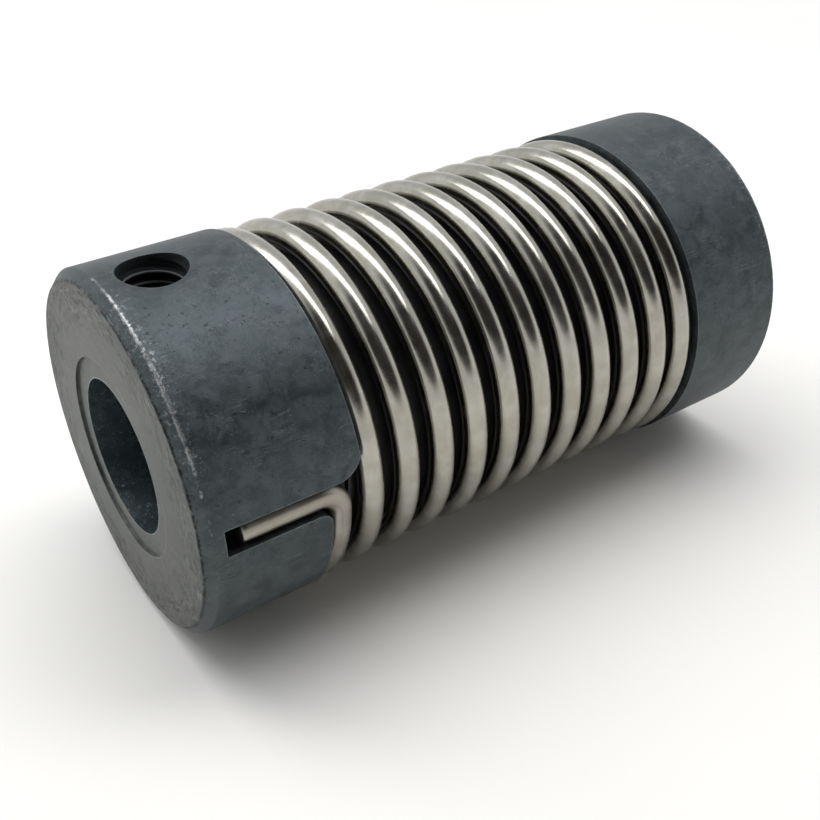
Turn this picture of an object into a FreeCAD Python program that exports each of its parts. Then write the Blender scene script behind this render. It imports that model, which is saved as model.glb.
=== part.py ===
import FreeCAD, Part
import math
import os
import Sketcher
from FreeCAD import Placement, Rotation, Vector

# Encoder shaft coupling: two die-cast hubs joined by one hooked coil spring.
# The row frame has the shaft axis along X, the near hub at -X, +Z up, and the
# origin at the middle of the axis. Lengths are millimetres.

doc = FreeCAD.newDocument("coupling")

# Driving dimensions
sheet = doc.addObject("Spreadsheet::Sheet", "Sizes")
SIZES = [
    ("OverallLength", 55.0, "outer face to outer face"),
    ("HubRadius", 14.0, "outside of a hub"),
    ("RimBevel", 0.75, "bevel of the outer rim"),
    ("RimEase", 0.2, "eased edges of that bevel"),
    ("BoreRadius", 6.0, "shaft bore"),
    ("RecessWidth", 1.7, "ring width of the shallow counterbore"),
    ("RecessDepth", 0.25, "depth of the counterbore"),
    ("SeatLow", 9.45, "outer face to the low end of the ramp"),
    ("SeatPitch", 2.75, "rise of the seated first and last turn"),
    ("SeatLand", 0.08, "flat land left at the top of the ramp"),
    ("SeatGap", 0.15, "seat to wire, along the axis"),
    ("SpigotLength", 7.38, "spigot beyond the ramp"),
    ("WireRadius", 0.95, "spring wire"),
    ("SpringInset", 0.2, "spring below the outside of the hubs"),
    ("BendRadius", 1.75, "centreline bend of the hooked end"),
    ("SlotWidth", 2.05, "slot for the hooked wire end"),
    ("SlotClosed", 1.6, "outer face to the closed end of the slot"),
    ("SlotSpare", 1.25, "empty slot past the cut end of the wire"),
    ("SlotUnder", 0.7, "slot floor below the wire"),
    ("LowCorner", 1.05, "corner round on the low side of the slot"),
    ("HighCorner", 2.1, "corner round on the high side of the slot"),
    ("ScrewHoleRadius", 2.5, "tapped hole, over the thread"),
    ("ScrewFromFace", 4.6, "outer face to the tapped hole"),
    ("ScrewFit", 0.05, "play of the set screw"),
    ("ScrewLength", 4.0, "set screw"),
    ("SocketAcross", 2.5, "hexagon socket across flats"),
    ("SocketDepth", 2.0, "hexagon socket"),
    ("RootClear", 0.15, "ramp's inner edge below the wire"),
    ("SleeveClear", 0.2, "core sleeve below the wire"),
    ("SleeveWall", 1.57, "wall of the core sleeve"),
    ("SleeveFit", 0.03, "play of the sleeve on the spigots"),
    ("SleeveGap", 0.05, "sleeve end to the hub"),
]
# The hubs and their ramps keep their size, and the open turns share the rest of the length.
SLOT_ANGLE = 176.0
HOLE_ANGLE = 90.0
TWIN_ANGLE = 30.5
HALF_TURNS = (TWIN_ANGLE - SLOT_ANGLE) / 360.0 + 6.0
OPEN_HALF = HALF_TURNS - 1.0
FOLLOWING = [
    ("SpringRadius", "HubRadius - SpringInset", "outside of the spring"),
    ("CoilRadius", "SpringRadius - WireRadius", "centre of the wire"),
    ("InsideRadius", "SpringRadius - 2 * WireRadius", "inside of the spring"),
    ("SeatRadius", "InsideRadius - RootClear", "inner edge of the ramp seat"),
    ("SeatHigh", "SeatLow + SeatPitch - SeatLand", "outer face to the top of the ramp"),
    ("SleeveRadius", "InsideRadius - SleeveClear", "core sleeve under the wire"),
    ("SleeveBore", "SleeveRadius - SleeveWall", "inside of the core sleeve"),
    ("SpigotRadius", "SleeveBore - SleeveFit", "spigot inside the spring"),
    ("SpigotEnd", "SeatHigh + SpigotLength", "outer face to the end of the spigot"),
    ("SlotFloor", "InsideRadius - SlotUnder", "radius of the slot floor"),
    ("HookEnd", "SlotClosed + SlotSpare", "outer face to the cut end of the wire"),
    ("RecessRadius", "BoreRadius + RecessWidth", "counterbore in the outer face"),
    ("ScrewRadius", "ScrewHoleRadius - ScrewFit", "set screw over the thread"),
    ("ScrewTip", "BoreRadius + ScrewFit", "tip of the set screw to the shaft axis"),
    ("OpenStart", "SeatLow + SeatGap + WireRadius + SeatPitch", "where the open turns start"),
    ("FreePitch", "(OverallLength / 2 - OpenStart) / %.9f" % OPEN_HALF, "rise of the open turns"),
]
for row, (word, value, meaning) in enumerate(SIZES, start=1):
    sheet.set("A%d" % row, meaning)
    sheet.set("B%d" % row, str(value))
    sheet.setAlias("B%d" % row, word)
for row, (word, formula, meaning) in enumerate(FOLLOWING, start=len(SIZES) + 1):
    sheet.set("A%d" % row, meaning)
    sheet.set("B%d" % row, "=" + formula)
    sheet.setAlias("B%d" % row, word)
    doc.recompute()


def size(word):
    return float(sheet.get(word))


def sketch_on(body, name, plane, offset=None):
    """A sketch attached to one of the body's own origin planes."""
    sketch = body.newObject("Sketcher::SketchObject", name)
    for feature in body.Origin.OriginFeatures:
        if feature.Role == plane:
            sketch.AttachmentSupport = [(feature, "")]
    sketch.MapMode = "FlatFace"
    if offset is not None:
        sketch.AttachmentOffset = offset
    return sketch


def polygon(sketch, points):
    """Closed outline of straight lines."""
    count = len(points)
    for i in range(count):
        a = points[i]
        b = points[(i + 1) % count]
        sketch.addGeometry(Part.LineSegment(Vector(a[0], a[1], 0), Vector(b[0], b[1], 0)), False)
    return sketch


def hold_lines(sketch, lines):
    """Keep the named lines level or upright and tie the outline's corners."""
    count = len(lines)
    for i in range(count):
        sketch.addConstraint(Sketcher.Constraint("Coincident", i, 2, (i + 1) % count, 1))
    for i, way in enumerate(lines):
        if way == "H":
            sketch.addConstraint(Sketcher.Constraint("Horizontal", i))
        if way == "V":
            sketch.addConstraint(Sketcher.Constraint("Vertical", i))


def drive(sketch, kind, line, end, formula, value):
    """Distance of a point from the sketch origin, driven by the sheet."""
    number = sketch.addConstraint(Sketcher.Constraint(kind, -1, 1, line, end, value))
    sketch.setExpression("Constraints[%d]" % number, formula)


def circles_near(shape, least, most, height):
    """Names of the full circles between two radii, at or below a height."""
    names = []
    for number, edge in enumerate(shape.Edges, start=1):
        if edge.Curve.TypeId != "Part::GeomCircle":
            continue
        if least <= edge.Curve.Radius <= most and edge.BoundBox.ZMax < height + 1e-3:
            names.append("Edge%d" % number)
    return names


# Placements of a hub and of its twin
# In its own frame a hub stands on its outer face with its slot at +X.
AXIS_TURN = Rotation(Vector(1, 1, 1), 120.0)


def near_placement(turn_deg):
    base = Vector(-size("OverallLength") / 2.0, 0, 0)
    return Placement(base, Rotation(Vector(1, 0, 0), turn_deg).multiply(AXIS_TURN))


def twin_rotation():
    angle = math.radians(TWIN_ANGLE)
    return Placement(Vector(0, 0, 0), Rotation(Vector(0, math.cos(angle), math.sin(angle)), 180.0))


def hub_body(name, placement):
    """Hub with shaft bore, spigot, helical ramp seat, hook slot and tapped hole."""
    body = doc.addObject("PartDesign::Body", name)
    body.Label = name

    bore = size("BoreRadius")
    recess = size("RecessRadius")
    deep = size("RecessDepth")
    outer = size("HubRadius")
    high = size("SeatHigh")
    spigot = size("SpigotRadius")
    end = size("SpigotEnd")

    # Turned outline
    outline = sketch_on(body, name + "_outline", "XZ_Plane")
    points = [
        (bore, deep), (recess, deep), (recess, 0.0), (outer, 0.0),
        (outer, high), (spigot, high), (spigot, end), (bore, end),
    ]
    polygon(outline, points)
    hold_lines(outline, ["H", "V", "H", "V", "H", "V", "H", "V"])
    drive(outline, "DistanceX", 0, 1, "Sizes.BoreRadius", bore)
    drive(outline, "DistanceY", 0, 1, "Sizes.RecessDepth", deep)
    drive(outline, "DistanceX", 1, 1, "Sizes.RecessRadius", recess)
    outline.addConstraint(Sketcher.Constraint("PointOnObject", 2, 1, -1))
    drive(outline, "DistanceX", 3, 1, "Sizes.HubRadius", outer)
    drive(outline, "DistanceY", 4, 1, "Sizes.SeatHigh", high)
    drive(outline, "DistanceX", 5, 1, "Sizes.SpigotRadius", spigot)
    drive(outline, "DistanceY", 6, 1, "Sizes.SpigotEnd", end)
    turned = body.newObject("PartDesign::Revolution", name + "_turned")
    turned.Profile = outline
    turned.ReferenceAxis = (outline, ["V_Axis"])
    turned.Angle = 360.0
    outline.Visibility = False
    doc.recompute()

    # Bevelled outer rim with eased edges
    bevel = body.newObject("PartDesign::Chamfer", name + "_rim")
    bevel.Base = (turned, circles_near(turned.Shape, outer - 1e-3, outer + 1e-3, 0.0))
    bevel.Size = size("RimBevel")
    bevel.setExpression("Size", "Sizes.RimBevel")
    doc.recompute()
    ease = body.newObject("PartDesign::Fillet", name + "_rim_ease")
    wide = size("RimBevel")
    ease.Base = (bevel, circles_near(bevel.Shape, outer - wide - 1e-3, outer + 1e-3, wide))
    ease.Radius = size("RimEase")
    ease.setExpression("Radius", "Sizes.RimEase")
    doc.recompute()

    # Helical ramp seat for the end turn, with its step at the slot
    low = size("SeatLow")
    seat = size("SeatRadius")
    cutter = sketch_on(body, name + "_ramp_section", "XZ_Plane")
    reach = outer + 2.0
    tall = size("SeatPitch") - 0.05
    polygon(cutter, [(seat, low), (reach, low), (reach, low + tall), (seat, low + tall)])
    hold_lines(cutter, ["H", "V", "H", "V"])
    drive(cutter, "DistanceX", 0, 1, "Sizes.SeatRadius", seat)
    drive(cutter, "DistanceY", 0, 1, "Sizes.SeatLow", low)
    drive(cutter, "DistanceX", 2, 1, "Sizes.HubRadius + 2", reach)
    drive(cutter, "DistanceY", 2, 1, "Sizes.SeatLow + Sizes.SeatPitch - 0.05", low + tall)
    ramp = body.newObject("PartDesign::SubtractiveHelix", name + "_ramp_seat")
    ramp.Profile = cutter
    ramp.ReferenceAxis = (cutter, ["V_Axis"])
    ramp.Mode = 0
    ramp.Pitch = size("SeatPitch")
    ramp.Height = size("SeatPitch") * 0.985
    ramp.setExpression("Pitch", "Sizes.SeatPitch")
    ramp.setExpression("Height", "Sizes.SeatPitch * 0.985")
    ramp.Angle = 0.0
    ramp.LeftHanded = False
    ramp.Reversed = False
    cutter.Visibility = False
    doc.recompute()

    # Slot for the hooked wire end, rounded where it opens on the ramp
    half = size("SlotWidth") / 2.0
    closed = size("SlotClosed")
    small = size("LowCorner")
    large = size("HighCorner")
    low_top = low + 0.12
    high_top = high + 0.12
    clear = high + 1.5
    mouth = sketch_on(body, name + "_slot_outline", "YZ_Plane")
    corners = [
        (-half, closed), (half, closed), (half, low_top - small),
        (half + small, low_top), (half + small, clear),
        (-half - large, clear), (-half - large, high_top), (-half, high_top - large),
    ]
    quarter = math.sqrt(0.5)
    for i in range(8):
        a = Vector(corners[i][0], corners[i][1], 0)
        b = Vector(corners[(i + 1) % 8][0], corners[(i + 1) % 8][1], 0)
        if i == 2:
            centre = Vector(half + small, low_top - small, 0)
            middle = centre + Vector(-small * quarter, small * quarter, 0)
            mouth.addGeometry(Part.Arc(a, middle, b), False)
        elif i == 6:
            centre = Vector(-half - large, high_top - large, 0)
            middle = centre + Vector(large * quarter, large * quarter, 0)
            mouth.addGeometry(Part.Arc(a, middle, b), False)
        else:
            mouth.addGeometry(Part.LineSegment(a, b), False)
    slot = body.newObject("PartDesign::Pocket", name + "_slot")
    slot.Profile = mouth
    floor = size("SlotFloor")
    mouth.AttachmentOffset = Placement(Vector(0, 0, floor), Rotation())
    mouth.setExpression("AttachmentOffset.Base.z", "Sizes.SlotFloor")
    slot.Reversed = True
    slot.Length = outer - floor + 2.0
    slot.setExpression("Length", "Sizes.HubRadius - Sizes.SlotFloor + 2")
    mouth.Visibility = False
    doc.recompute()

    # Tapped hole for the set screw, square to the shaft
    turn = HOLE_ANGLE - SLOT_ANGLE + 90.0
    way = Placement(Vector(0, 0, 0), Rotation(Vector(0, 1, 0), turn))
    ring = sketch_on(body, name + "_screw_hole_outline", "XZ_Plane", way)
    centre = Vector(0, size("ScrewFromFace"), 0)
    ring.addGeometry(Part.Circle(centre, Vector(0, 0, 1), size("ScrewHoleRadius")), False)
    number = ring.addConstraint(Sketcher.Constraint("Radius", 0, size("ScrewHoleRadius")))
    ring.setExpression("Constraints[%d]" % number, "Sizes.ScrewHoleRadius")
    drive(ring, "DistanceY", 0, 3, "Sizes.ScrewFromFace", size("ScrewFromFace"))
    ring.addConstraint(Sketcher.Constraint("PointOnObject", 0, 3, -2))
    hole = body.newObject("PartDesign::Pocket", name + "_screw_hole")
    hole.Profile = ring
    hole.Reversed = True
    hole.Length = outer + 2.0
    hole.setExpression("Length", "Sizes.HubRadius + 2")
    ring.Visibility = False
    doc.recompute()

    body.Tip = hole
    body.Placement = placement
    doc.recompute()
    return body


# Hooked coil spring
# Its own frame is the near hub's: outer face at Z = 0, near hook at +X.
MIDDLE_FORMULA = "Sizes.OverallLength / 2"


def wire_section(body, name, angle, along, formula):
    """Round wire section in the plane through the axis at this angle."""
    turn = Placement(Vector(0, 0, 0), Rotation(Vector(0, 1, 0), angle))
    section = sketch_on(body, name, "XZ_Plane", turn)
    coil = size("CoilRadius")
    section.addGeometry(Part.Circle(Vector(coil, along, 0), Vector(0, 0, 1), size("WireRadius")), False)
    number = section.addConstraint(Sketcher.Constraint("Radius", 0, size("WireRadius")))
    section.setExpression("Constraints[%d]" % number, "Sizes.WireRadius")
    drive(section, "DistanceX", 0, 3, "Sizes.CoilRadius", coil)
    drive(section, "DistanceY", 0, 3, formula, along)
    section.Visibility = False
    return section


def turns_of_wire(body, name, section, pitch_word, turns):
    """Right-handed turns of wire with one even pitch."""
    coil = body.newObject("PartDesign::AdditiveHelix", name)
    coil.Profile = section
    coil.ReferenceAxis = (section, ["V_Axis"])
    coil.Mode = 0
    coil.Pitch = size(pitch_word)
    coil.Height = size(pitch_word) * turns
    coil.setExpression("Pitch", "Sizes." + pitch_word)
    coil.setExpression("Height", "Sizes.%s * %.9f" % (pitch_word, turns))
    coil.Angle = 0.0
    coil.LeftHanded = False
    doc.recompute()
    return coil


def hooked_end(body, name, angle, along, formula, way):
    """Wire bent square out of the turn into a straight leg along the shaft axis."""
    section = wire_section(body, name + "_section", angle, along, formula)
    coil = size("CoilRadius")
    bend = size("BendRadius")
    lean = math.radians(angle)
    base = Vector(coil * math.sin(lean), 0, coil * math.cos(lean))
    flat = Placement(base, Rotation(Vector(0, 1, 0), angle))
    line = sketch_on(body, name + "_line", "YZ_Plane", flat)
    cut = size("HookEnd")
    if way > 0:
        cut = size("OverallLength") - size("HookEnd")
    centre = Vector(0, along + way * bend, 0)
    middle = centre + Vector(way * bend, -way * bend, 0) * math.sqrt(0.5)
    turned = centre + Vector(way * bend, 0, 0)
    line.addGeometry(Part.Arc(Vector(0, along, 0), middle, turned), False)
    line.addGeometry(Part.LineSegment(turned, Vector(turned.x, cut, 0)), False)
    line.Visibility = False
    hook = body.newObject("PartDesign::AdditivePipe", name)
    hook.Profile = section
    hook.Spine = (line, ["Edge1", "Edge2"])
    doc.recompute()
    return hook


def coil_spring(placement):
    """One wire: a hook in each hub's slot, a seated turn on each ramp, open turns between."""
    body = doc.addObject("PartDesign::Body", "coil_spring")
    body.Label = "coil_spring"
    coil = size("CoilRadius")
    seat_pitch = size("SeatPitch")
    free_pitch = size("FreePitch")
    middle = size("OverallLength") / 2.0
    lead_angle = math.degrees(math.atan(size("BendRadius") / coil))
    lead = lead_angle / 360.0
    end_angle = (2.0 * OPEN_HALF * 360.0) % 360.0

    open_start = middle - free_pitch * OPEN_HALF
    open_end = middle + free_pitch * OPEN_HALF
    reach = "%s %s Sizes.FreePitch * %.9f"
    open_start_formula = reach % (MIDDLE_FORMULA, "-", OPEN_HALF)
    open_end_formula = reach % (MIDDLE_FORMULA, "+", OPEN_HALF)
    seated = 1.0 - lead
    near_start = open_start - seat_pitch * seated
    far_end = open_end + seat_pitch * seated
    near_formula = "%s - Sizes.SeatPitch * %.9f" % (open_start_formula, seated)
    far_formula = "%s + Sizes.SeatPitch * %.9f" % (open_end_formula, seated)

    near_cut = wire_section(body, "near_turn_section", lead_angle, near_start, near_formula)
    turns_of_wire(body, "near_turn", near_cut, "SeatPitch", seated)
    open_cut = wire_section(body, "open_turns_section", 0.0, open_start, open_start_formula)
    turns_of_wire(body, "open_turns", open_cut, "FreePitch", 2.0 * OPEN_HALF)
    far_cut = wire_section(body, "far_turn_section", end_angle, open_end, open_end_formula)
    turns_of_wire(body, "far_turn", far_cut, "SeatPitch", seated)
    hooked_end(body, "near_hook", lead_angle, near_start, near_formula, -1)
    last = hooked_end(body, "far_hook", end_angle - lead_angle, far_end, far_formula, 1)
    body.Tip = last
    body.Placement = placement
    doc.recompute()
    return body


def core_sleeve():
    """Soft tube on the two spigots, close under the wire."""
    body = doc.addObject("PartDesign::Body", "core_sleeve")
    body.Label = "core_sleeve"
    inner = size("SleeveBore")
    outer = size("SleeveRadius")
    half = size("OverallLength") / 2.0 - size("SeatHigh") - size("SleeveGap")
    outline = sketch_on(body, "sleeve_outline", "XZ_Plane")
    polygon(outline, [(inner, -half), (outer, -half), (outer, half), (inner, half)])
    hold_lines(outline, ["H", "", "H", "V"])
    formula = "Sizes.OverallLength / 2 - Sizes.SeatHigh - Sizes.SleeveGap"
    drive(outline, "DistanceX", 0, 1, "Sizes.SleeveBore", inner)
    drive(outline, "DistanceY", 2, 1, formula, half)
    drive(outline, "DistanceX", 1, 1, "Sizes.SleeveRadius", outer)
    outline.addConstraint(Sketcher.Constraint("Symmetric", 1, 1, 1, 2, -1))
    tube = body.newObject("PartDesign::Revolution", "sleeve_tube")
    tube.Profile = outline
    tube.ReferenceAxis = (outline, ["V_Axis"])
    tube.Angle = 360.0
    outline.Visibility = False
    body.Tip = tube
    body.Placement = Placement(Vector(0, 0, 0), AXIS_TURN)
    doc.recompute()
    return body


def set_screw(name, placement):
    """Headless screw with a cup point below and a hexagon socket above."""
    body = doc.addObject("PartDesign::Body", name)
    body.Label = name
    radius = size("ScrewRadius")
    length = size("ScrewLength")
    cup = radius * 0.5
    outline = sketch_on(body, name + "_outline", "XZ_Plane")
    polygon(outline, [
        (0.0, 0.55), (cup, 0.0), (radius, 0.95), (radius, length - 0.3),
        (radius - 0.3, length), (0.0, length),
    ])
    hold_lines(outline, ["", "", "V", "", "H", "V"])
    outline.addConstraint(Sketcher.Constraint("PointOnObject", 0, 1, -2))
    outline.addConstraint(Sketcher.Constraint("PointOnObject", 1, 1, -1))
    drive(outline, "DistanceY", 0, 1, "0.55", 0.55)
    drive(outline, "DistanceX", 1, 1, "Sizes.ScrewRadius / 2", cup)
    drive(outline, "DistanceX", 2, 1, "Sizes.ScrewRadius", radius)
    drive(outline, "DistanceY", 2, 1, "0.95", 0.95)
    drive(outline, "DistanceY", 3, 1, "Sizes.ScrewLength - 0.3", length - 0.3)
    drive(outline, "DistanceX", 4, 1, "Sizes.ScrewRadius - 0.3", radius - 0.3)
    drive(outline, "DistanceY", 4, 1, "Sizes.ScrewLength", length)
    turned = body.newObject("PartDesign::Revolution", name + "_turned")
    turned.Profile = outline
    turned.ReferenceAxis = (outline, ["V_Axis"])
    turned.Angle = 360.0
    outline.Visibility = False
    doc.recompute()
    top = Placement(Vector(0, 0, length), Rotation())
    hexagon = sketch_on(body, name + "_socket_outline", "XY_Plane", top)
    hexagon.setExpression("AttachmentOffset.Base.z", "Sizes.ScrewLength")
    reach = size("SocketAcross") / math.sqrt(3.0)
    six = []
    for i in range(6):
        angle = math.radians(60.0 * i + 15.0)
        six.append((reach * math.cos(angle), reach * math.sin(angle)))
    polygon(hexagon, six)
    socket = body.newObject("PartDesign::Pocket", name + "_socket")
    socket.Profile = hexagon
    socket.Length = size("SocketDepth")
    socket.setExpression("Length", "Sizes.SocketDepth")
    hexagon.Visibility = False
    doc.recompute()
    body.Tip = socket
    body.Placement = placement
    doc.recompute()
    return body


def screw_placement():
    base = Vector(-size("OverallLength") / 2.0 + size("ScrewFromFace"), 0, size("ScrewTip"))
    return Placement(base, Rotation())


near = near_placement(SLOT_ANGLE)
twin = twin_rotation()
pieces = [
    hub_body("front_hub", near),
    hub_body("rear_hub", twin.multiply(near)),
    coil_spring(near),
    core_sleeve(),
    set_screw("front_set_screw", screw_placement()),
    set_screw("rear_set_screw", twin.multiply(screw_placement())),
]

doc.recompute()
for item in doc.Objects:
    if "Invalid" in item.State or "Error" in item.State:
        raise RuntimeError("object failed: " + item.Name)

os.makedirs("parts", exist_ok=True)
for piece in pieces:
    shape = piece.Shape
    if shape.isNull() or not shape.isValid():
        raise RuntimeError("bad shape: " + piece.Label)
    if len(shape.Solids) != 1:
        raise RuntimeError("not one solid: " + piece.Label)
    box = shape.BoundBox
    print(piece.Label, round(shape.Volume, 2), len(shape.Faces),
          [round(v, 3) for v in (box.XMin, box.XMax, box.YMin, box.YMax, box.ZMin, box.ZMax)])
    shape.exportStep("parts/%s.step" % piece.Label)
print("done")
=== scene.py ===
import math

import bmesh
import bpy
import numpy as np
from mathutils import Matrix, Quaternion, Vector


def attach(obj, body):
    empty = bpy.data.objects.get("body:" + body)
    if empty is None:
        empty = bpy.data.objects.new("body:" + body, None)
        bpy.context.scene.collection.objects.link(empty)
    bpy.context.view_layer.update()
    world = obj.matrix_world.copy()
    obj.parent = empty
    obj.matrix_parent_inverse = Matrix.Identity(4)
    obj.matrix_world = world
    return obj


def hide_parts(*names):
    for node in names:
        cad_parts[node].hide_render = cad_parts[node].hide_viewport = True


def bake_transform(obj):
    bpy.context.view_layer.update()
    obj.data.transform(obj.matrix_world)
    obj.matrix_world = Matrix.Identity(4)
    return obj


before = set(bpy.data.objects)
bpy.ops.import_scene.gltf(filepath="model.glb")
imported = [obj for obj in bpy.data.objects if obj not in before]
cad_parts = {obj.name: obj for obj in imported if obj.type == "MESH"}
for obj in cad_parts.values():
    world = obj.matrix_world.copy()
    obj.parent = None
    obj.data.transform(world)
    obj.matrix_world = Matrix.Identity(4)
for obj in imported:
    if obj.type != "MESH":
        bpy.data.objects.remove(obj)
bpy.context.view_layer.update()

MM = 0.001

# The coupling, in millimetres. X is its axis, the front hub is at low x, and an angle turns from
# +Y towards +Z.
FRONT_FACE = -27.5
HUB_RADIUS = 14.0
COIL_RADIUS = 12.85
WIRE_RADIUS = 0.95
SLOT_ANGLE = 176.0
TWIN_ANGLE = 30.5
SEAT_PITCH = 2.75
HALF_TURNS = (TWIN_ANGLE - SLOT_ANGLE) / 360 + 6
OPEN_START = 13.3
FREE_PITCH = (-FRONT_FACE - OPEN_START) / (HALF_TURNS - 1)
BEND_RADIUS = 1.75
HOOK_END = 2.85
SLEEVE_HALF = 15.33
SLEEVE_RADIUS = 11.7
SLEEVE_BORE = 10.13
SLEEVE_EASE = 0.25
HOLE_X = 22.9
HOLE_ANGLES = {"front": 90.0, "rear": 2 * TWIN_ANGLE - 90.0}

# The set screw. SCREW_TIP is the tip's distance from the coupling's axis.
SCREW_TIP = 6.05
SCREW_LENGTH = 4.0
SCREW_RADIUS = 2.45
SCREW_EASE = 0.3
POINT_RADIUS = 1.225
POINT_LENGTH = 0.95
POINT_HOLLOW = 0.55
SOCKET_ACROSS = 2.5
SOCKET_DEPTH = 2.0
SOCKET_EASE = 0.10

# The thread. The screw's groove has a flat root and rises to the crest over a flank, both as
# shares of the pitch. The hole's ridge has a section of radius and place along the hole's axis.
THREAD_PITCH = 0.8
GROOVE_RADIUS = 2.0
GROOVE_DEPTH = 0.44
GROOVE_FLAT = 0.10
GROOVE_FLANK = 0.33
RIDGE_START, RIDGE_END = 6.25, 13.45
RIDGE_ROOT, RIDGE_FLANK, RIDGE_CREST = 2.56, 2.30, 2.14
RIDGE_SECTION = [
    (RIDGE_ROOT, -0.33), (RIDGE_FLANK, -0.17), (RIDGE_CREST, -0.05),
    (RIDGE_CREST, 0.05), (RIDGE_FLANK, 0.17), (RIDGE_ROOT, 0.33),
]

# Where the hub's material changes, as two ends of a smooth step: on the outer face, within the
# face's edge, within the bore, and for the tapped hole over its floor, within its wall and within
# the crests of its thread. The rim's bevel lies between the face and the side.
FACE_FROM = (27.12, 27.2)
FACE_WITHIN = (13.2, 13.4)
BORE_WITHIN = (6.02, 6.08)
HOLE_FROM = (6.0, 6.5)
HOLE_WITHIN = (2.50, 2.56)
CREST_WITHIN = (2.16, 2.24)
RIM_BEVEL = 0.74
RIM_EASE = 0.05

# How finely the meshes are divided.
LEG_POINTS = 12
BEND_POINTS = 25
PER_TURN = 96
WIRE_AROUND = 28
SLEEVE_AROUND = 96
SLEEVE_STEP = 0.4
THREAD_AROUND = 48
SCREW_ROWS = 101

# The wire and the sleeve are made in three stretches. For each: from and to where the outer
# stretches bend, and how far from the middle the middle one gives, along X. The wire is cut two
# turns from the middle, the sleeve at SLEEVE_CUT.
CUT_TURNS = 2
SLEEVE_CUT = 3.1
WIRE_BENDS = (13.0, 7.2, 5.1)
SLEEVE_BENDS = (9.5, 3.2, 3.0)

# The camera stands where the photograph was taken from: angles in degrees, lengths in millimetres.
AZIMUTH, ELEVATION, DISTANCE = -35.11, 34.74, 91.81
OFFSET_RIGHT, OFFSET_UP = -1.443, -5.535
SENSOR_WIDTH, LENS = 36.0, 47.84


def circle(count):
    """Angles that go once round, without the last."""
    return np.linspace(0, 2 * math.pi, count, endpoint=False)


def twin(points):
    """The same points on the other half.

    The coupling repeats itself when it is turned half round.
    """
    a = math.radians(2 * TWIN_ANGLE)
    c, s = math.cos(a), math.sin(a)
    p = np.asarray(points, float)
    return np.stack(
        [-p[..., 0], c * p[..., 1] + s * p[..., 2], s * p[..., 1] - c * p[..., 2]], -1
    )


# ---------------------------------------------------------------- meshes


def new_object(name, points, faces, smooth_angle, flow=None):
    """A closed mesh from points in millimetres.

    Its attributes keep each point's place at rest and, with flow, its place along the piece.
    """
    mesh = bpy.data.meshes.new(name)
    mesh.from_pydata([tuple(p * MM) for p in np.asarray(points, float)], [], faces)
    mesh.update()
    b = bmesh.new()
    b.from_mesh(mesh)
    bmesh.ops.recalc_face_normals(b, faces=b.faces)
    b.to_mesh(mesh)
    b.free()
    mesh.polygons.foreach_set("use_smooth", [True] * len(mesh.polygons))
    mesh.set_sharp_from_angle(angle=math.radians(smooth_angle))
    rest = mesh.attributes.new("rest_mm", "FLOAT_VECTOR", "POINT")
    rest.data.foreach_set("vector", np.asarray(points, np.float32).ravel())
    if flow is not None:
        along = mesh.attributes.new("flow_mm", "FLOAT_VECTOR", "POINT")
        along.data.foreach_set("vector", np.asarray(flow, np.float32).ravel())
    obj = bpy.data.objects.new(name, mesh)
    bpy.context.scene.collection.objects.link(obj)
    return obj


def grid_faces(rows, columns, wrap_rows=False):
    """Quads between rings of points, each ring closed on itself."""
    faces = []
    for i in range(rows if wrap_rows else rows - 1):
        a, b = i * columns, ((i + 1) % rows) * columns
        for j in range(columns):
            k = (j + 1) % columns
            faces.append((a + j, a + k, b + k, b + j))
    return faces


def fan(first, count, centre):
    """Triangles from a ring of points, numbered from first, to a point in its middle."""
    return [(first + j, first + (j + 1) % count, centre) for j in range(count)]


# ---------------------------------------------------------------- the wire


def front_half_path():
    """The front half of the wire's centre line, with its outward direction.

    It runs from the cut end in the front hub to the middle of the coupling.
    """
    lead = math.atan2(BEND_RADIUS, COIL_RADIUS)
    centre, outward = [], []

    def put(x, y, z, out):
        centre.append((x, y, z))
        outward.append(out)

    base = math.radians(SLOT_ANGLE) + lead
    out = np.array([0.0, math.cos(base), math.sin(base)])
    side = np.array([0.0, -math.sin(base), math.cos(base)])
    near = OPEN_START - SEAT_PITCH * (1 - lead / (2 * math.pi))
    for z in np.linspace(HOOK_END, near - BEND_RADIUS, LEG_POINTS)[:-1]:
        p = out * COIL_RADIUS - side * BEND_RADIUS
        put(FRONT_FACE + z, p[1], p[2], out)
    for s in np.linspace(0, math.pi / 2, BEND_POINTS)[:-1]:
        p = out * COIL_RADIUS - side * BEND_RADIUS * math.cos(s)
        put(FRONT_FACE + near - BEND_RADIUS + BEND_RADIUS * math.sin(s), p[1], p[2], out)
    total = 2 * math.pi * HALF_TURNS
    for phi in np.linspace(lead, total, int(PER_TURN * HALF_TURNS)):
        turns = phi / (2 * math.pi)
        pitch = SEAT_PITCH if turns < 1 else FREE_PITCH
        theta = math.radians(SLOT_ANGLE) + phi
        o = np.array([0.0, math.cos(theta), math.sin(theta)])
        x = FRONT_FACE + OPEN_START + pitch * (turns - 1)
        put(x, COIL_RADIUS * o[1], COIL_RADIUS * o[2], o)
    return np.array(centre), np.array(outward)


def along_path(centre, outward):
    """Every point of the wire's line with its tangent, two directions across it and a length.

    The length is that of the wire before the point.
    """
    tangent = np.gradient(centre, axis=0)
    tangent /= np.linalg.norm(tangent, axis=1)[:, None]
    out = outward - (outward * tangent).sum(1)[:, None] * tangent
    out /= np.linalg.norm(out, axis=1)[:, None]
    side = np.cross(tangent, out)
    steps = np.linalg.norm(np.diff(centre, axis=0), axis=1)
    length = np.concatenate([[0], np.cumsum(steps)])
    return centre, tangent, out, side, length


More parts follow.
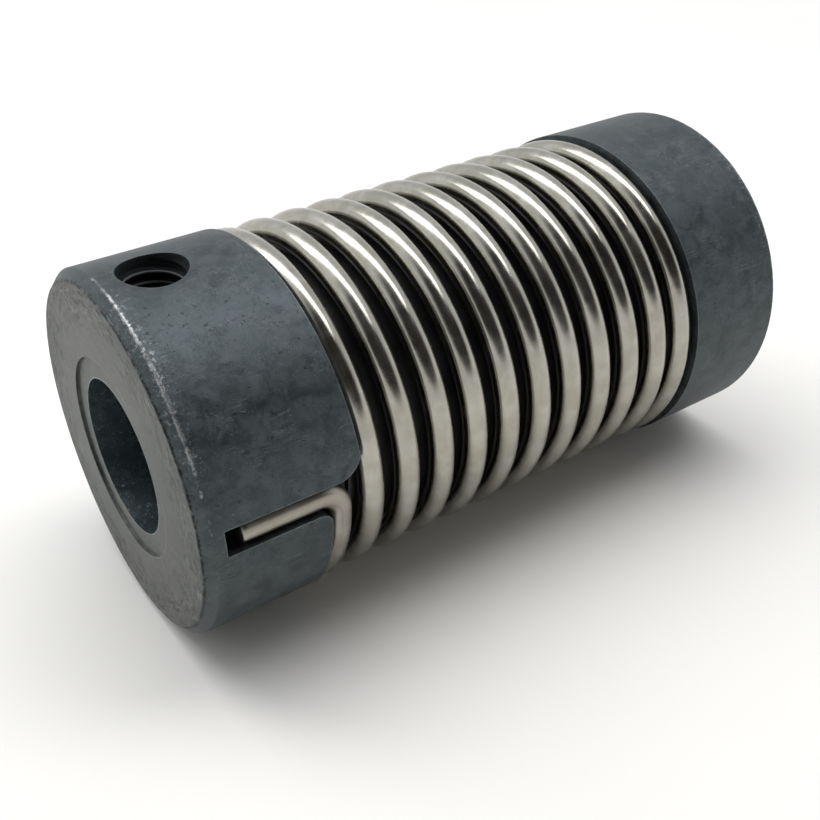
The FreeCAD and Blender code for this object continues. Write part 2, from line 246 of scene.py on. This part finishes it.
def tube(name, path, first_cut, last_cut):
    """A round wire along a line.

    A cut end has a small rounded shoulder. An inner end is flat and meets the next stretch.
    """
    centre, tangent, out, side, length = path
    turn = circle(WIRE_AROUND)
    points, flow, normals = [], [], []

    def ring(c, i, radius):
        for t in turn:
            radial = math.cos(t) * out[i] + math.sin(t) * side[i]
            points.append(c + radius * radial)
            flow.append((length[i], math.cos(t), math.sin(t)))
            # A zero normal leaves Blender's own, which suits the shoulder.
            normals.append(radial if radius == WIRE_RADIUS else (0, 0, 0))

    shoulder = [(0.0, 0.80), (0.05, 0.92), (0.12, 0.98)]
    if first_cut:
        for step, share in shoulder:
            ring(centre[0] + tangent[0] * step, 0, WIRE_RADIUS * share)
    lo = 1 if first_cut else 0
    hi = len(centre) - 1 if last_cut else len(centre)
    for i in range(lo, hi):
        ring(centre[i], i, WIRE_RADIUS)
    if last_cut:
        for step, share in reversed(shoulder):
            ring(centre[-1] - tangent[-1] * step, -1, WIRE_RADIUS * share)
    rows = len(points) // WIRE_AROUND
    faces = grid_faces(rows, WIRE_AROUND)
    for row, i in ((0, 0), (rows - 1, -1)):
        points.append(centre[i])
        flow.append((length[i], 0, 0))
        faces += fan(row * WIRE_AROUND, WIRE_AROUND, len(points) - 1)
    wire = new_object(name, points, faces, 50, flow)
    mesh = wire.data
    # The round side is shaded by the wire's own normals, so that no seam shows between stretches.
    custom = np.zeros((len(mesh.loops), 3))
    for face in mesh.polygons:
        if len(face.vertices) == 4:
            for loop in face.loop_indices:
                custom[loop] = normals[mesh.loops[loop].vertex_index]
    mesh.normals_split_custom_set(custom.tolist())
    return wire


def make_wire():
    """The three stretches of wire, and the length of the whole."""
    centre, outward = front_half_path()
    far_centre, far_outward = twin(centre)[::-1], twin(outward)[::-1]
    whole = np.concatenate([centre, far_centre[1:]])
    out = np.concatenate([outward, far_outward[1:]])
    middle = len(centre) - 1
    first, second = middle - CUT_TURNS * PER_TURN, middle + CUT_TURNS * PER_TURN
    path = along_path(whole, out)

    def stretch(i, j):
        return [values[i:j] for values in path]

    pieces = (
        tube("spring_front", stretch(0, first + 1), True, False),
        tube("spring_middle", stretch(first, second + 1), False, False),
        tube("spring_rear", stretch(second, len(whole)), False, True),
    )
    return pieces, path[-1][-1]


# ---------------------------------------------------------------- the core sleeve


def sleeve_stretch(name, xa, xb):
    """A length of the sleeve.

    Its open ends are eased, and where it meets the next stretch they are square.
    """
    ea, eb = (SLEEVE_EASE if abs(abs(x) - SLEEVE_HALF) < 1e-6 else 0.0 for x in (xa, xb))
    n = max(4, int(round((xb - xa) / SLEEVE_STEP)))
    profile = []
    if ea:
        profile += [(xa, SLEEVE_RADIUS - ea), (xa + 0.3 * ea, SLEEVE_RADIUS - 0.3 * ea)]
    for x in np.linspace(xa + ea, xb - eb, n):
        profile.append((x, SLEEVE_RADIUS))
    if eb:
        profile += [(xb - 0.3 * eb, SLEEVE_RADIUS - 0.3 * eb), (xb, SLEEVE_RADIUS - eb)]
    for x in np.linspace(xb, xa, n):
        profile.append((x, SLEEVE_BORE))
    turn = circle(SLEEVE_AROUND)
    points = [(x, r * math.cos(t), r * math.sin(t)) for x, r in profile for t in turn]
    faces = grid_faces(len(profile), SLEEVE_AROUND, wrap_rows=True)
    return new_object(name, points, faces, 35)


# ---------------------------------------------------------------- threads and set screws


def hole_axes(side):
    """The hole's outward axis, two directions across it, and where it crosses the coupling's."""
    t = math.radians(HOLE_ANGLES[side])
    sign = -1 if side == "rear" else 1
    axis = np.array([0.0, math.cos(t), math.sin(t)])
    across = np.array([1.0, 0.0, 0.0]) * sign
    return axis, across, np.cross(axis, across), np.array([-HOLE_X * sign, 0, 0])


def hole_thread(side):
    """The ridge of the tapped thread, which fades out at both ends."""
    axis, u, v, at = hole_axes(side)
    turns = (RIDGE_END - RIDGE_START) / THREAD_PITCH
    n = int(turns * THREAD_AROUND)
    # The ridge mates with the screw's groove: both are counted from the screw's tip.
    first = 2 * math.pi * (RIDGE_START - SCREW_TIP) / THREAD_PITCH
    points = []
    for i in range(n + 1):
        t = 2 * math.pi * turns * i / n
        h = RIDGE_START + THREAD_PITCH * t / (2 * math.pi)
        fade = min(1.0, 2.5 * i / THREAD_AROUND, 2.5 * (n - i) / THREAD_AROUND)
        radial = math.cos(t + first) * u + math.sin(t + first) * v
        for r, w in RIDGE_SECTION:
            r = RIDGE_ROOT - (RIDGE_ROOT - r) * (0.04 + 0.96 * fade)
            points.append(at + axis * (h + w) + r * radial)
    m = len(RIDGE_SECTION)
    faces = grid_faces(n + 1, m)
    faces.append(tuple(range(m)))
    faces.append(tuple(n * m + j for j in range(m)))
    return new_object(f"{side}_hole_thread", points, faces, 30)


def thread_radius(w, t):
    """The screw's radius at a height over its tip and an angle.

    The thread is cut off by the cone of the point and by the bevel at the top.
    """
    p = (w / THREAD_PITCH - t / (2 * math.pi)) % 1.0
    p = min(p, 1 - p)
    r = GROOVE_RADIUS + GROOVE_DEPTH * min(1.0, max(0.0, (p - GROOVE_FLAT) / GROOVE_FLANK))
    cone = POINT_RADIUS + w * (SCREW_RADIUS - POINT_RADIUS) / POINT_LENGTH
    return min(r, cone, SCREW_RADIUS - SCREW_EASE + SCREW_LENGTH - w)


def set_screw(side):
    """A cup-pointed set screw with a hexagon socket and its own thread."""
    axis, u, v, at = hole_axes(side)
    turn = circle(THREAD_AROUND)
    points = []

    def put(r, w, t):
        points.append(at + axis * (SCREW_TIP + w) + r * (math.cos(t) * u + math.sin(t) * v))

    def level(r, w):
        return [(r, w)] * THREAD_AROUND

    rings = [
        level(0.02, POINT_HOLLOW),
        level(POINT_RADIUS - 0.12, 0.05),
        level(POINT_RADIUS - 0.03, 0.0),
    ]
    for w in np.linspace(0, SCREW_LENGTH, SCREW_ROWS):
        rings.append([(thread_radius(w, t), w) for t in turn])
    half = SOCKET_ACROSS / 2
    hexagon = [half / math.cos((t + math.pi / 6) % (math.pi / 3) - math.pi / 6) for t in turn]
    rings += [
        [(h + SOCKET_EASE, SCREW_LENGTH) for h in hexagon],
        [(h, SCREW_LENGTH - SOCKET_EASE) for h in hexagon],
        [(h, SCREW_LENGTH - SOCKET_DEPTH) for h in hexagon],
        [(h * 0.45, SCREW_LENGTH - SOCKET_DEPTH - 0.1) for h in hexagon],
    ]
    for ring in rings:
        for (r, w), t in zip(ring, turn):
            put(r, w, t)
    faces = grid_faces(len(rings), THREAD_AROUND)
    put(0, POINT_HOLLOW, 0)
    faces += fan(0, THREAD_AROUND, len(points) - 1)
    put(0, SCREW_LENGTH - SOCKET_DEPTH - 0.2, 0)
    faces += fan((len(rings) - 1) * THREAD_AROUND, THREAD_AROUND, len(points) - 1)
    return new_object(f"{side}_threaded_screw", points, faces, 30)


# ---------------------------------------------------------------- materials


class Tree:
    """Short names for the nodes that the materials and the world use."""

    def __init__(self, owner, out="ShaderNodeOutputMaterial", shader="ShaderNodeBsdfPrincipled"):
        owner.use_nodes = True
        self.tree = owner.node_tree
        self.tree.nodes.clear()
        self.out = self.node(out)
        self.shader = self.node(shader)
        self.link(self.shader.outputs[0], self.out.inputs["Surface"])

    def link(self, a, b):
        self.tree.links.new(a, b)

    def give(self, socket, value):
        if value is None:
            return
        if isinstance(value, bpy.types.NodeSocket):
            self.link(value, socket)
        elif isinstance(value, tuple) and len(value) == 3 and socket.type == "RGBA":
            socket.default_value = (*value, 1.0)
        else:
            socket.default_value = value

    def give_all(self, node, *values):
        for socket, value in zip(node.inputs, values):
            self.give(socket, value)

    def node(self, kind, **settings):
        n = self.tree.nodes.new(kind)
        for k, v in settings.items():
            setattr(n, k, v)
        return n

    def math(self, how, a, b=None):
        n = self.node("ShaderNodeMath", operation=how)
        self.give_all(n, a, b)
        return n.outputs[0]

    def add(self, a, b):
        return self.math("ADD", a, b)

    def minus(self, a, b):
        return self.math("SUBTRACT", a, b)

    def times(self, a, b):
        return self.math("MULTIPLY", a, b)

    def most(self, a, b):
        return self.math("MAXIMUM", a, b)

    def hypot(self, a, b):
        return self.math("SQRT", self.add(self.times(a, a), self.times(b, b)))

    def vmath(self, how, a, b=None, out=0):
        n = self.node("ShaderNodeVectorMath", operation=how)
        self.give_all(n, a, b)
        return n.outputs[out]

    def dot(self, a, b):
        return self.vmath("DOT_PRODUCT", a, b, 1)

    def split(self, vector):
        n = self.node("ShaderNodeSeparateXYZ")
        self.give(n.inputs[0], vector)
        return tuple(n.outputs)

    def join(self, x, y, z):
        n = self.node("ShaderNodeCombineXYZ")
        self.give_all(n, x, y, z)
        return n.outputs[0]

    def step(self, value, lo, hi, to_lo=0.0, to_hi=1.0):
        """A smooth step: to_lo at lo, to_hi at hi."""
        n = self.node("ShaderNodeMapRange", interpolation_type="SMOOTHSTEP")
        self.give_all(n, value, lo, hi, to_lo, to_hi)
        return n.outputs[0]

    def fall(self, value, lo, hi):
        """A smooth step down: 1 at lo, 0 at hi."""
        return self.step(value, lo, hi, 1.0, 0.0)

    def mix(self, share, a, b):
        n = self.node("ShaderNodeMix", data_type="RGBA")
        self.give(n.inputs[0], share)
        self.give(n.inputs[6], a)
        self.give(n.inputs[7], b)
        return n.outputs[2]

    def noise(self, where, scale, detail=3.0, rough=0.5, distort=0.0):
        n = self.node("ShaderNodeTexNoise")
        self.give(n.inputs["Vector"], where)
        self.give(n.inputs["Scale"], scale)
        self.give(n.inputs["Detail"], detail)
        self.give(n.inputs["Roughness"], rough)
        self.give(n.inputs["Distortion"], distort)
        return n.outputs[0]

    def cells(self, where, scale):
        n = self.node("ShaderNodeTexVoronoi")
        self.give(n.inputs["Vector"], where)
        self.give(n.inputs["Scale"], scale)
        return n.outputs["Distance"]

    def stretch(self, where, scale, turn=(0.0, 0.0, 0.0), shift=(0.0, 0.0, 0.0)):
        n = self.node("ShaderNodeMapping")
        self.give(n.inputs["Vector"], where)
        n.inputs["Location"].default_value = shift
        n.inputs["Rotation"].default_value = turn
        n.inputs["Scale"].default_value = scale
        return n.outputs[0]

    def shifted(self, where, *shift):
        """The same place moved, so that a noise there has nothing to do with the others."""
        return self.stretch(where, (1, 1, 1), shift=shift)

    def frayed(self, value, noise, amount):
        """A value made ragged by a noise around one half."""
        return self.add(value, self.times(self.minus(noise, 0.5), amount))

    def scratches(self, where, scale, turn, shift):
        """Thin broken lines: the ridge of a stretched noise, shown only in patches."""
        line = self.noise(self.stretch(where, scale, turn, shift), 1.0, 2.0, 0.6)
        ridge = self.fall(self.math("ABSOLUTE", self.minus(line, 0.5)), 0.0, 0.016)
        patches = self.noise(self.stretch(where, (0.5, 0.5, 0.5), turn, shift), 1.0, 1.0)
        return self.times(ridge, self.step(patches, 0.52, 0.62))

    def bump(self, height, strength, distance):
        n = self.node("ShaderNodeBump")
        self.give(n.inputs["Strength"], strength)
        self.give(n.inputs["Distance"], distance)
        self.give(n.inputs["Height"], height)
        return n.outputs[0]

    def set(self, **values):
        for k, v in values.items():
            self.give(self.shader.inputs[k.replace("_", " ")], v)

    def object_mm(self):
        place = self.node("ShaderNodeTexCoord").outputs["Object"]
        return self.vmath("MULTIPLY", place, (1000.0, 1000.0, 1000.0))

    def attribute(self, name):
        n = self.node("ShaderNodeAttribute", attribute_name=name, attribute_type="GEOMETRY")
        return n.outputs["Vector"]


def new_material(name):
    material = bpy.data.materials.new(name)
    return material, Tree(material)


def hole_masks(t, x, y, z):
    """Masks of the inside of the tapped holes and of the crests of their threads."""
    masks = []
    for side, sign in (("front", -1), ("rear", 1)):
        angle = math.radians(HOLE_ANGLES[side])
        c, s = math.cos(angle), math.sin(angle)
        outward = t.step(t.add(t.times(y, c), t.times(z, s)), *HOLE_FROM)
        away = t.hypot(t.minus(t.times(z, c), t.times(y, s)), t.minus(x, sign * HOLE_X))
        inside = t.times(t.fall(away, *HOLE_WITHIN), outward)
        crest = t.times(t.fall(away, *CREST_WITHIN), outward)
        masks.append((inside, crest))
    (front_inside, front_crest), (rear_inside, rear_crest) = masks
    return t.most(front_inside, rear_inside), t.most(front_crest, rear_crest)


def hub_material(name, thread=False):
    """Oxidised metal.

    The side is mottled dark blue-grey, the face paler, partly as machined metal and partly as
    painted light, with dark streaks near its rim, and bare metal shows where edges are knocked,
    with a painted highlight on the upper front of the rim. The tapped holes are painted dark
    as painted shade, with painted highlights on their thread crests.
    """
    material, t = new_material(name)
    p = t.object_mm()
    x, y, z = t.split(p)
    radius = t.hypot(y, z)
    end = t.math("ABSOLUTE", x)
    on_face = t.times(t.step(end, *FACE_FROM), t.fall(radius, *FACE_WITHIN))
    bore = t.fall(radius, *BORE_WITHIN)
    not_bore = t.minus(1.0, bore)

    # Noises, from broad to fine.
    broad = t.noise(p, 0.16, 3.0, 0.55)
    blotch = t.noise(t.shifted(p, 11, 4, 9), 0.42, 4.0, 0.6, 0.6)
    mottle = t.noise(p, 0.75, 6.0, 0.68, 0.4)
    grain = t.noise(p, 9.0, 3.0, 0.6)
    pits = t.step(t.noise(p, 2.4, 3.0, 0.6), 0.37, 0.29)
    small_pits = t.step(t.noise(t.shifted(p, 7, 3, 5), 6.0, 2.0, 0.5), 0.35, 0.27)
    pits = t.most(t.times(pits, 0.8), t.times(small_pits, 0.6))
    specks = t.step(t.noise(t.shifted(p, 2, 9, 4), 3.4, 3.0, 0.65), 0.64, 0.74)
    specks = t.times(specks, not_bore)
    flecks = t.step(t.noise(t.shifted(p, 4, 8, 1), 2.3, 5.0, 0.75), 0.53, 0.62)

    # The side and the face. The face is paler, partly as machined metal and partly as painted
    # light where it faces the bright side of the studio.
    mottled = t.step(mottle, 0.36, 0.66)
    side = t.mix(mottled, (0.040, 0.049, 0.054), (0.088, 0.102, 0.110))
    side = t.mix(t.step(blotch, 0.42, 0.66, 0.0, 0.55), side, (0.070, 0.090, 0.092))
    face = t.mix(mottled, (0.088, 0.094, 0.088), (0.150, 0.158, 0.149))
    face = t.mix(t.times(flecks, 0.3), face, (0.052, 0.057, 0.053))
    colour = t.mix(on_face, side, face)
    colour = t.mix(t.step(broad, 0.38, 0.66, 0.0, 0.35), colour, (0.050, 0.060, 0.064))
    colour = t.mix(t.times(specks, 0.35), colour, (0.23, 0.25, 0.25))
    colour = t.mix(t.times(pits, 0.65), colour, (0.016, 0.019, 0.019))

    # Short dark streaks that follow the rim of the face.
    around = t.join(
        t.math("DIVIDE", t.times(y, 9.0), radius),
        t.math("DIVIDE", t.times(z, 9.0), radius),
        t.times(radius, 2.2),
    )
    ragged_radius = t.add(radius, t.times(blotch, 5.0))
    streak = t.step(t.noise(around, 1.0, 5.0, 0.7, 0.6), 0.51, 0.58)
    streak = t.times(t.times(streak, on_face), t.step(ragged_radius, 11.0, 14.0))
    colour = t.mix(t.times(streak, 0.72), colour, (0.030, 0.033, 0.032))

    # Light chips on the rough rim of the face.
    rough_rim = t.times(on_face, t.step(ragged_radius, 13.0, 15.0))
    chips = t.noise(t.vmath("ADD", around, (5.0, 9.0, 2.0)), 1.7, 4.0, 0.7, 0.6)
    chips = t.times(t.step(chips, 0.55, 0.64), rough_rim)
    colour = t.mix(t.times(chips, 0.6), colour, (0.27, 0.28, 0.26))

    # A ragged dark line where the face meets the bevel.
    lip = t.hypot(t.minus(radius, HUB_RADIUS - RIM_BEVEL), t.minus(end, -FRONT_FACE - RIM_EASE))
    lip = t.frayed(lip, t.noise(p, 3.0, 4.0, 0.7), 0.6)
    lip = t.times(t.fall(lip, 0.05, 0.20), t.step(t.noise(p, 1.2, 4.0, 0.7), 0.42, 0.50))
    colour = t.mix(t.times(lip, 0.9), colour, (0.014, 0.016, 0.016))

    # Bare, polished metal where an edge is knocked. On the upper front of the rim the worn line is
    # also a painted highlight, made stronger where the lamp above falls on it.
    bevel = t.node("ShaderNodeBevel", samples=6)
    bevel.inputs["Radius"].default_value = 0.0002
    geometry = t.node("ShaderNodeNewGeometry")
    bend = t.minus(1.0, t.dot(bevel.outputs[0], geometry.outputs["Normal"]))
    edge = t.step(t.frayed(bend, mottle, 0.14), 0.04, 0.16, 0.0, 0.42)
    edge = t.times(edge, t.step(radius, 5.8, 7.2, 0.1, 1.0))
    rim = t.hypot(t.minus(radius, HUB_RADIUS - RIM_EASE), t.minus(end, -FRONT_FACE - RIM_BEVEL))
    # Painted highlight: the rim's worn line and flakes grow stronger towards its upper front,
    # where the lamp above lights it.
    painted_highlight_upper_front = t.step(t.minus(t.times(z, 0.82), t.times(y, 0.57)), 9.0, 13.5, -0.07, 0.12)
    line = t.fall(t.frayed(rim, t.noise(p, 4.0, 4.0, 0.7), 0.7), 0.02, 0.20)
    knocked_and_highlight = t.step(t.add(t.noise(p, 2.0, 5.0, 0.8), painted_highlight_upper_front), 0.50, 0.64)
    flaked_and_highlight = t.step(t.add(t.noise(p, 3.2, 5.0, 0.8), painted_highlight_upper_front), 0.66, 0.76)
    flakes_and_highlight = t.times(t.fall(rim, 0.3, 1.0), flaked_and_highlight)
    worn_rim_and_highlight = t.most(t.times(line, knocked_and_highlight), t.times(flakes_and_highlight, 0.5))
    wear_and_highlight = t.most(t.times(edge, t.step(grain, 0.35, 0.6, 0.35, 1.0)), worn_rim_and_highlight)

    marks = t.most(
        t.scratches(p, (0.25, 5.0, 5.0), (0.4, 0.3, 0.9), (3.0, 1.0, 2.0)),
        t.scratches(p, (4.0, 0.3, 4.0), (0.7, 0.2, 0.3), (8.0, 5.0, 1.0)),
    )
    marks = t.times(marks, not_bore)
    colour = t.mix(t.times(marks, 0.22), colour, (0.34, 0.35, 0.34))
    # Bare metal of knocked edges, with a painted highlight on the upper front of the rim.
    colour = t.mix(t.times(wear_and_highlight, 0.7), colour, (0.52, 0.53, 0.52))

    # The tapped holes are painted near-black as painted shade, and the crests of their threads are
    # painted lighter as painted highlight.
    hole, crest = hole_masks(t, x, y, z)
    colour = t.mix(t.times(hole, 0.95), colour, (0.007, 0.008, 0.009))
    colour = t.mix(t.times(crest, 0.85), colour, (0.17, 0.18, 0.185))

    # The bore is machined and keeps more of its shine.
    colour = t.mix(t.times(bore, 0.6), colour, (0.21, 0.27, 0.29))

    roughness = t.step(mottle, 0.3, 0.7, 0.43, 0.56)
    roughness = t.minus(roughness, t.times(wear_and_highlight, 0.14))
    roughness = t.minus(roughness, t.times(bore, 0.26))
    roughness = t.add(roughness, t.times(hole, 0.25))
    metal = t.minus(0.8, t.times(hole, 0.75))
    height = t.add(t.times(grain, 0.35), t.times(mottle, 0.8))
    height = t.minus(height, t.times(pits, 0.9))
    height = t.minus(height, t.times(streak, 0.6))
    cast = t.times(t.noise(t.shifted(p, 6, 2, 7), 4.2, 4.0, 0.7), 8.0)
    height = t.add(height, t.times(t.add(cast, t.times(chips, 1.5)), rough_rim))
    height = t.minus(height, t.times(marks, 0.25))
    normal = t.bump(height, 0.7, 0.00004)
    t.set(Base_Color=colour, Roughness=roughness, Metallic=metal, Normal=normal)
    if thread:
        t.set(Specular_IOR_Level=0.15)
    return material


def wire_material(length):
    """Bright drawn wire with a nickel finish.

    It has faint lines along it, handling marks and a warm tinge in patches.
    """
    material, t = new_material("bright_nickel_wire")
    p = t.attribute("rest_mm")
    flow = t.attribute("flow_mm")
    drawn = t.noise(t.stretch(flow, (0.05, 9.0, 9.0)), 1.0, 3.0, 0.6)
    fine = t.noise(t.stretch(flow, (0.12, 30.0, 30.0), shift=(2, 4, 1)), 1.0, 2.0, 0.5)
    cloud = t.noise(p, 0.55, 4.0, 0.6)
    spots = t.step(t.noise(p, 5.5, 2.0, 0.5), 0.30, 0.24)
    colour = t.mix(t.step(cloud, 0.35, 0.68), (0.345, 0.332, 0.282), (0.43, 0.418, 0.372))
    colour = t.mix(t.step(drawn, 0.40, 0.30, 0.0, 0.25), colour, (0.27, 0.26, 0.24))
    colour = t.mix(t.times(spots, 0.5), colour, (0.16, 0.15, 0.135))
    roughness = t.add(t.step(cloud, 0.3, 0.7, 0.16, 0.23), t.step(drawn, 0.35, 0.7, 0.0, 0.05))

    # The bent ends, along the legs in the slots, are darker, a little brown and duller.
    along = t.split(flow)[0]
    from_end = t.math("MINIMUM", along, t.minus(length, along))
    wire_ends = t.fall(t.add(from_end, t.times(cloud, 6.0)), 12.0, 17.0)
    brown = t.times(wire_ends, t.step(drawn, 0.35, 0.65, 0.25, 0.75))
    colour = t.mix(brown, colour, (0.27, 0.235, 0.20))
    roughness = t.add(roughness, t.times(wire_ends, 0.16))
    normal = t.bump(t.add(t.times(drawn, 0.6), t.times(fine, 0.4)), 0.25, 0.00001)
    t.set(Base_Color=colour, Roughness=roughness, Metallic=1.0, Normal=normal)
    return material


def sleeve_material():
    """Smooth black rubber with a soft sheen, a little bloom and specks of dust."""
    material, t = new_material("black_rubber_sleeve")
    p = t.attribute("rest_mm")
    cloud = t.noise(p, 0.35, 4.0, 0.6)
    grain = t.noise(p, 6.0, 3.0, 0.6)
    dust = t.step(t.cells(p, 2.3), 0.055, 0.03)
    dust = t.times(dust, t.step(t.noise(p, 0.7, 1.0), 0.5, 0.58))
    colour = t.mix(t.step(cloud, 0.3, 0.7), (0.010, 0.010, 0.011), (0.022, 0.021, 0.022))
    colour = t.mix(t.times(dust, 0.7), colour, (0.30, 0.29, 0.27))
    roughness = t.add(t.step(cloud, 0.3, 0.7, 0.34, 0.46), t.times(dust, 0.3))
    normal = t.bump(t.add(grain, t.times(dust, 2.0)), 0.3, 0.00002)
    t.set(Base_Color=colour, Roughness=roughness, Metallic=0.0, Normal=normal)
    t.set(Specular_IOR_Level=0.4)
    return material


def screw_material():
    """Blackened steel, mottled and rubbed lighter in places."""
    material, t = new_material("blackened_screw_steel")
    p = t.attribute("rest_mm")
    mottle = t.noise(p, 2.2, 4.0, 0.6)
    grain = t.noise(p, 14.0, 3.0, 0.6)
    turned = t.noise(t.stretch(p, (1.2, 1.2, 9.0)), 1.0, 3.0, 0.6)
    colour = t.mix(t.step(mottle, 0.3, 0.7), (0.09, 0.095, 0.10), (0.21, 0.215, 0.22))
    colour = t.mix(t.step(turned, 0.6, 0.72, 0.0, 0.5), colour, (0.42, 0.42, 0.41))
    roughness = t.step(mottle, 0.3, 0.7, 0.30, 0.48)
    normal = t.bump(t.add(grain, mottle), 0.3, 0.00002)
    t.set(Base_Color=colour, Roughness=roughness, Metallic=0.9, Normal=normal)
    return material


def floor_material():
    """A plain pale table top, with a barely visible grain, that melts into white far away."""
    material, t = new_material("pale_floor")
    p = t.object_mm()
    cloud = t.noise(p, 0.02, 3.0, 0.5)
    colour = t.mix(t.step(cloud, 0.3, 0.7), (0.87, 0.855, 0.825), (0.90, 0.885, 0.855))
    t.set(Base_Color=colour, Roughness=t.step(cloud, 0.3, 0.7, 0.75, 0.85))
    rays = t.node("ShaderNodeLightPath").outputs
    seen = t.most(rays["Is Glossy Ray"], rays["Is Transmission Ray"])
    seen = t.most(rays["Is Camera Ray"], seen)
    distance = t.vmath("LENGTH", p, None, 1)
    backdrop = t.node("ShaderNodeEmission")
    blend = t.node("ShaderNodeMixShader")
    t.give(blend.inputs[0], t.times(seen, t.step(distance, 90.0, 380.0)))
    t.link(t.shader.outputs[0], blend.inputs[1])
    t.link(backdrop.outputs[0], blend.inputs[2])
    t.link(blend.outputs[0], t.out.inputs["Surface"])
    return material


def put_material(obj, material):
    if obj.data.materials:
        for i in range(len(obj.data.materials)):
            obj.material_slots[i].link = "OBJECT"
            obj.material_slots[i].material = material
    else:
        obj.data.materials.append(material)


# ---------------------------------------------------------------- the object

hub_steel = hub_material("oxidised_hub_metal")
thread_steel = hub_material("oxidised_thread", thread=True)
rubber = sleeve_material()
screw_steel = screw_material()

for node in ("front_hub", "rear_hub"):
    put_material(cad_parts[node], hub_steel)

(front_wire, middle_wire, rear_wire), wire_length = make_wire()
wire = wire_material(wire_length)
for piece in (front_wire, middle_wire, rear_wire):
    put_material(piece, wire)
    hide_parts("coil_spring")

front_sleeve = sleeve_stretch("sleeve_front", -SLEEVE_HALF, -SLEEVE_CUT)
middle_sleeve = sleeve_stretch("sleeve_middle", -SLEEVE_CUT, SLEEVE_CUT)
rear_sleeve = sleeve_stretch("sleeve_rear", SLEEVE_CUT, SLEEVE_HALF)
for piece in (front_sleeve, middle_sleeve, rear_sleeve):
    put_material(piece, rubber)
    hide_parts("core_sleeve")

for front, middle, rear, bends in (
    (front_wire, middle_wire, rear_wire, WIRE_BENDS),
    (front_sleeve, middle_sleeve, rear_sleeve, SLEEVE_BENDS),
):
    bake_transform(front)
    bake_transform(middle)
    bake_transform(rear)

for side in ("front", "rear"):
    thread = hole_thread(side)
    put_material(thread, thread_steel)
    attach(thread, f"{side}_hub")
    screw = set_screw(side)
    put_material(screw, screw_steel)
    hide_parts(f"{side}_set_screw")
    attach(screw, f"{side}_screw")

# ---------------------------------------------------------------- floor, light and camera

FLOOR_Z = -HUB_RADIUS * MM
FLOOR_RADIUS = 1.6
floor_mesh = bpy.data.meshes.new("floor")
ring = [(FLOOR_RADIUS * math.cos(t), FLOOR_RADIUS * math.sin(t), FLOOR_Z) for t in circle(64)]
floor_mesh.from_pydata(ring, [], [tuple(range(len(ring)))])
floor = bpy.data.objects.new("floor", floor_mesh)
bpy.context.scene.collection.objects.link(floor)
put_material(floor, floor_material())


def toward(azimuth, elevation):
    """The direction at that azimuth, from -Y towards +X, and that height above the horizon."""
    a, e = math.radians(azimuth), math.radians(elevation)
    return (math.sin(a) * math.cos(e), -math.cos(a) * math.cos(e), math.sin(e))


def make_world():
    """A white band at the horizon, and above it a grey studio.

    The studio is bright on the left and dark on the photographer's side.
    """
    world = bpy.data.worlds.new("studio")
    bpy.context.scene.world = world
    t = Tree(world, "ShaderNodeOutputWorld", "ShaderNodeBackground")
    d = t.node("ShaderNodeTexCoord").outputs["Generated"]

    def near(azimuth, elevation, lo, hi):
        return t.step(t.dot(d, toward(azimuth, elevation)), lo, hi)

    colour = t.mix(near(-120, 30, 0.35, 0.85), (0.80, 0.82, 0.85), (0.98, 1.0, 1.02))
    colour = t.mix(near(-14, 26, 0.36, 0.70), colour, (0.036, 0.032, 0.030))
    colour = t.mix(t.fall(t.split(d)[2], 0.11, 0.27), colour, (1.0, 1.0, 1.0))
    t.set(Color=colour)


def make_softbox(name, place, width, height, power, turned):
    """A lamp that looks at the origin: lengths in metres, its turn about its axis in degrees."""
    light = bpy.data.lights.new(name, "AREA")
    light.shape = "RECTANGLE"
    light.size, light.size_y = width, height
    light.energy = power
    lamp = bpy.data.objects.new(name, light)
    lamp.location = place
    lamp.rotation_mode = "QUATERNION"
    aim = (Vector((0, 0, 0)) - Vector(place)).to_track_quat("-Z", "Y")
    lamp.rotation_quaternion = aim @ Quaternion((0, 0, 1), math.radians(turned))
    bpy.context.scene.collection.objects.link(lamp)


def make_camera():
    back = Vector(toward(AZIMUTH, ELEVATION))
    right = Vector((0, 0, 1)).cross(back).normalized()
    up = back.cross(right)
    camera_data = bpy.data.cameras.new("camera")
    camera_data.sensor_width = SENSOR_WIDTH
    camera_data.lens = LENS
    camera_data.clip_start, camera_data.clip_end = 0.005, 10.0
    camera = bpy.data.objects.new("camera", camera_data)
    place = (right * OFFSET_RIGHT + up * OFFSET_UP + back * DISTANCE) * MM
    turn = Matrix((right, up, back)).transposed()
    camera.matrix_world = Matrix.Translation(place) @ turn.to_4x4()
    bpy.context.scene.collection.objects.link(camera)
    bpy.context.scene.camera = camera


make_world()
make_softbox("top_softbox", (0, 0.08, 0.39), width=0.80, height=0.17, power=1.75, turned=-43.8)
make_camera()
bpy.context.scene.view_settings.view_transform = "Standard"
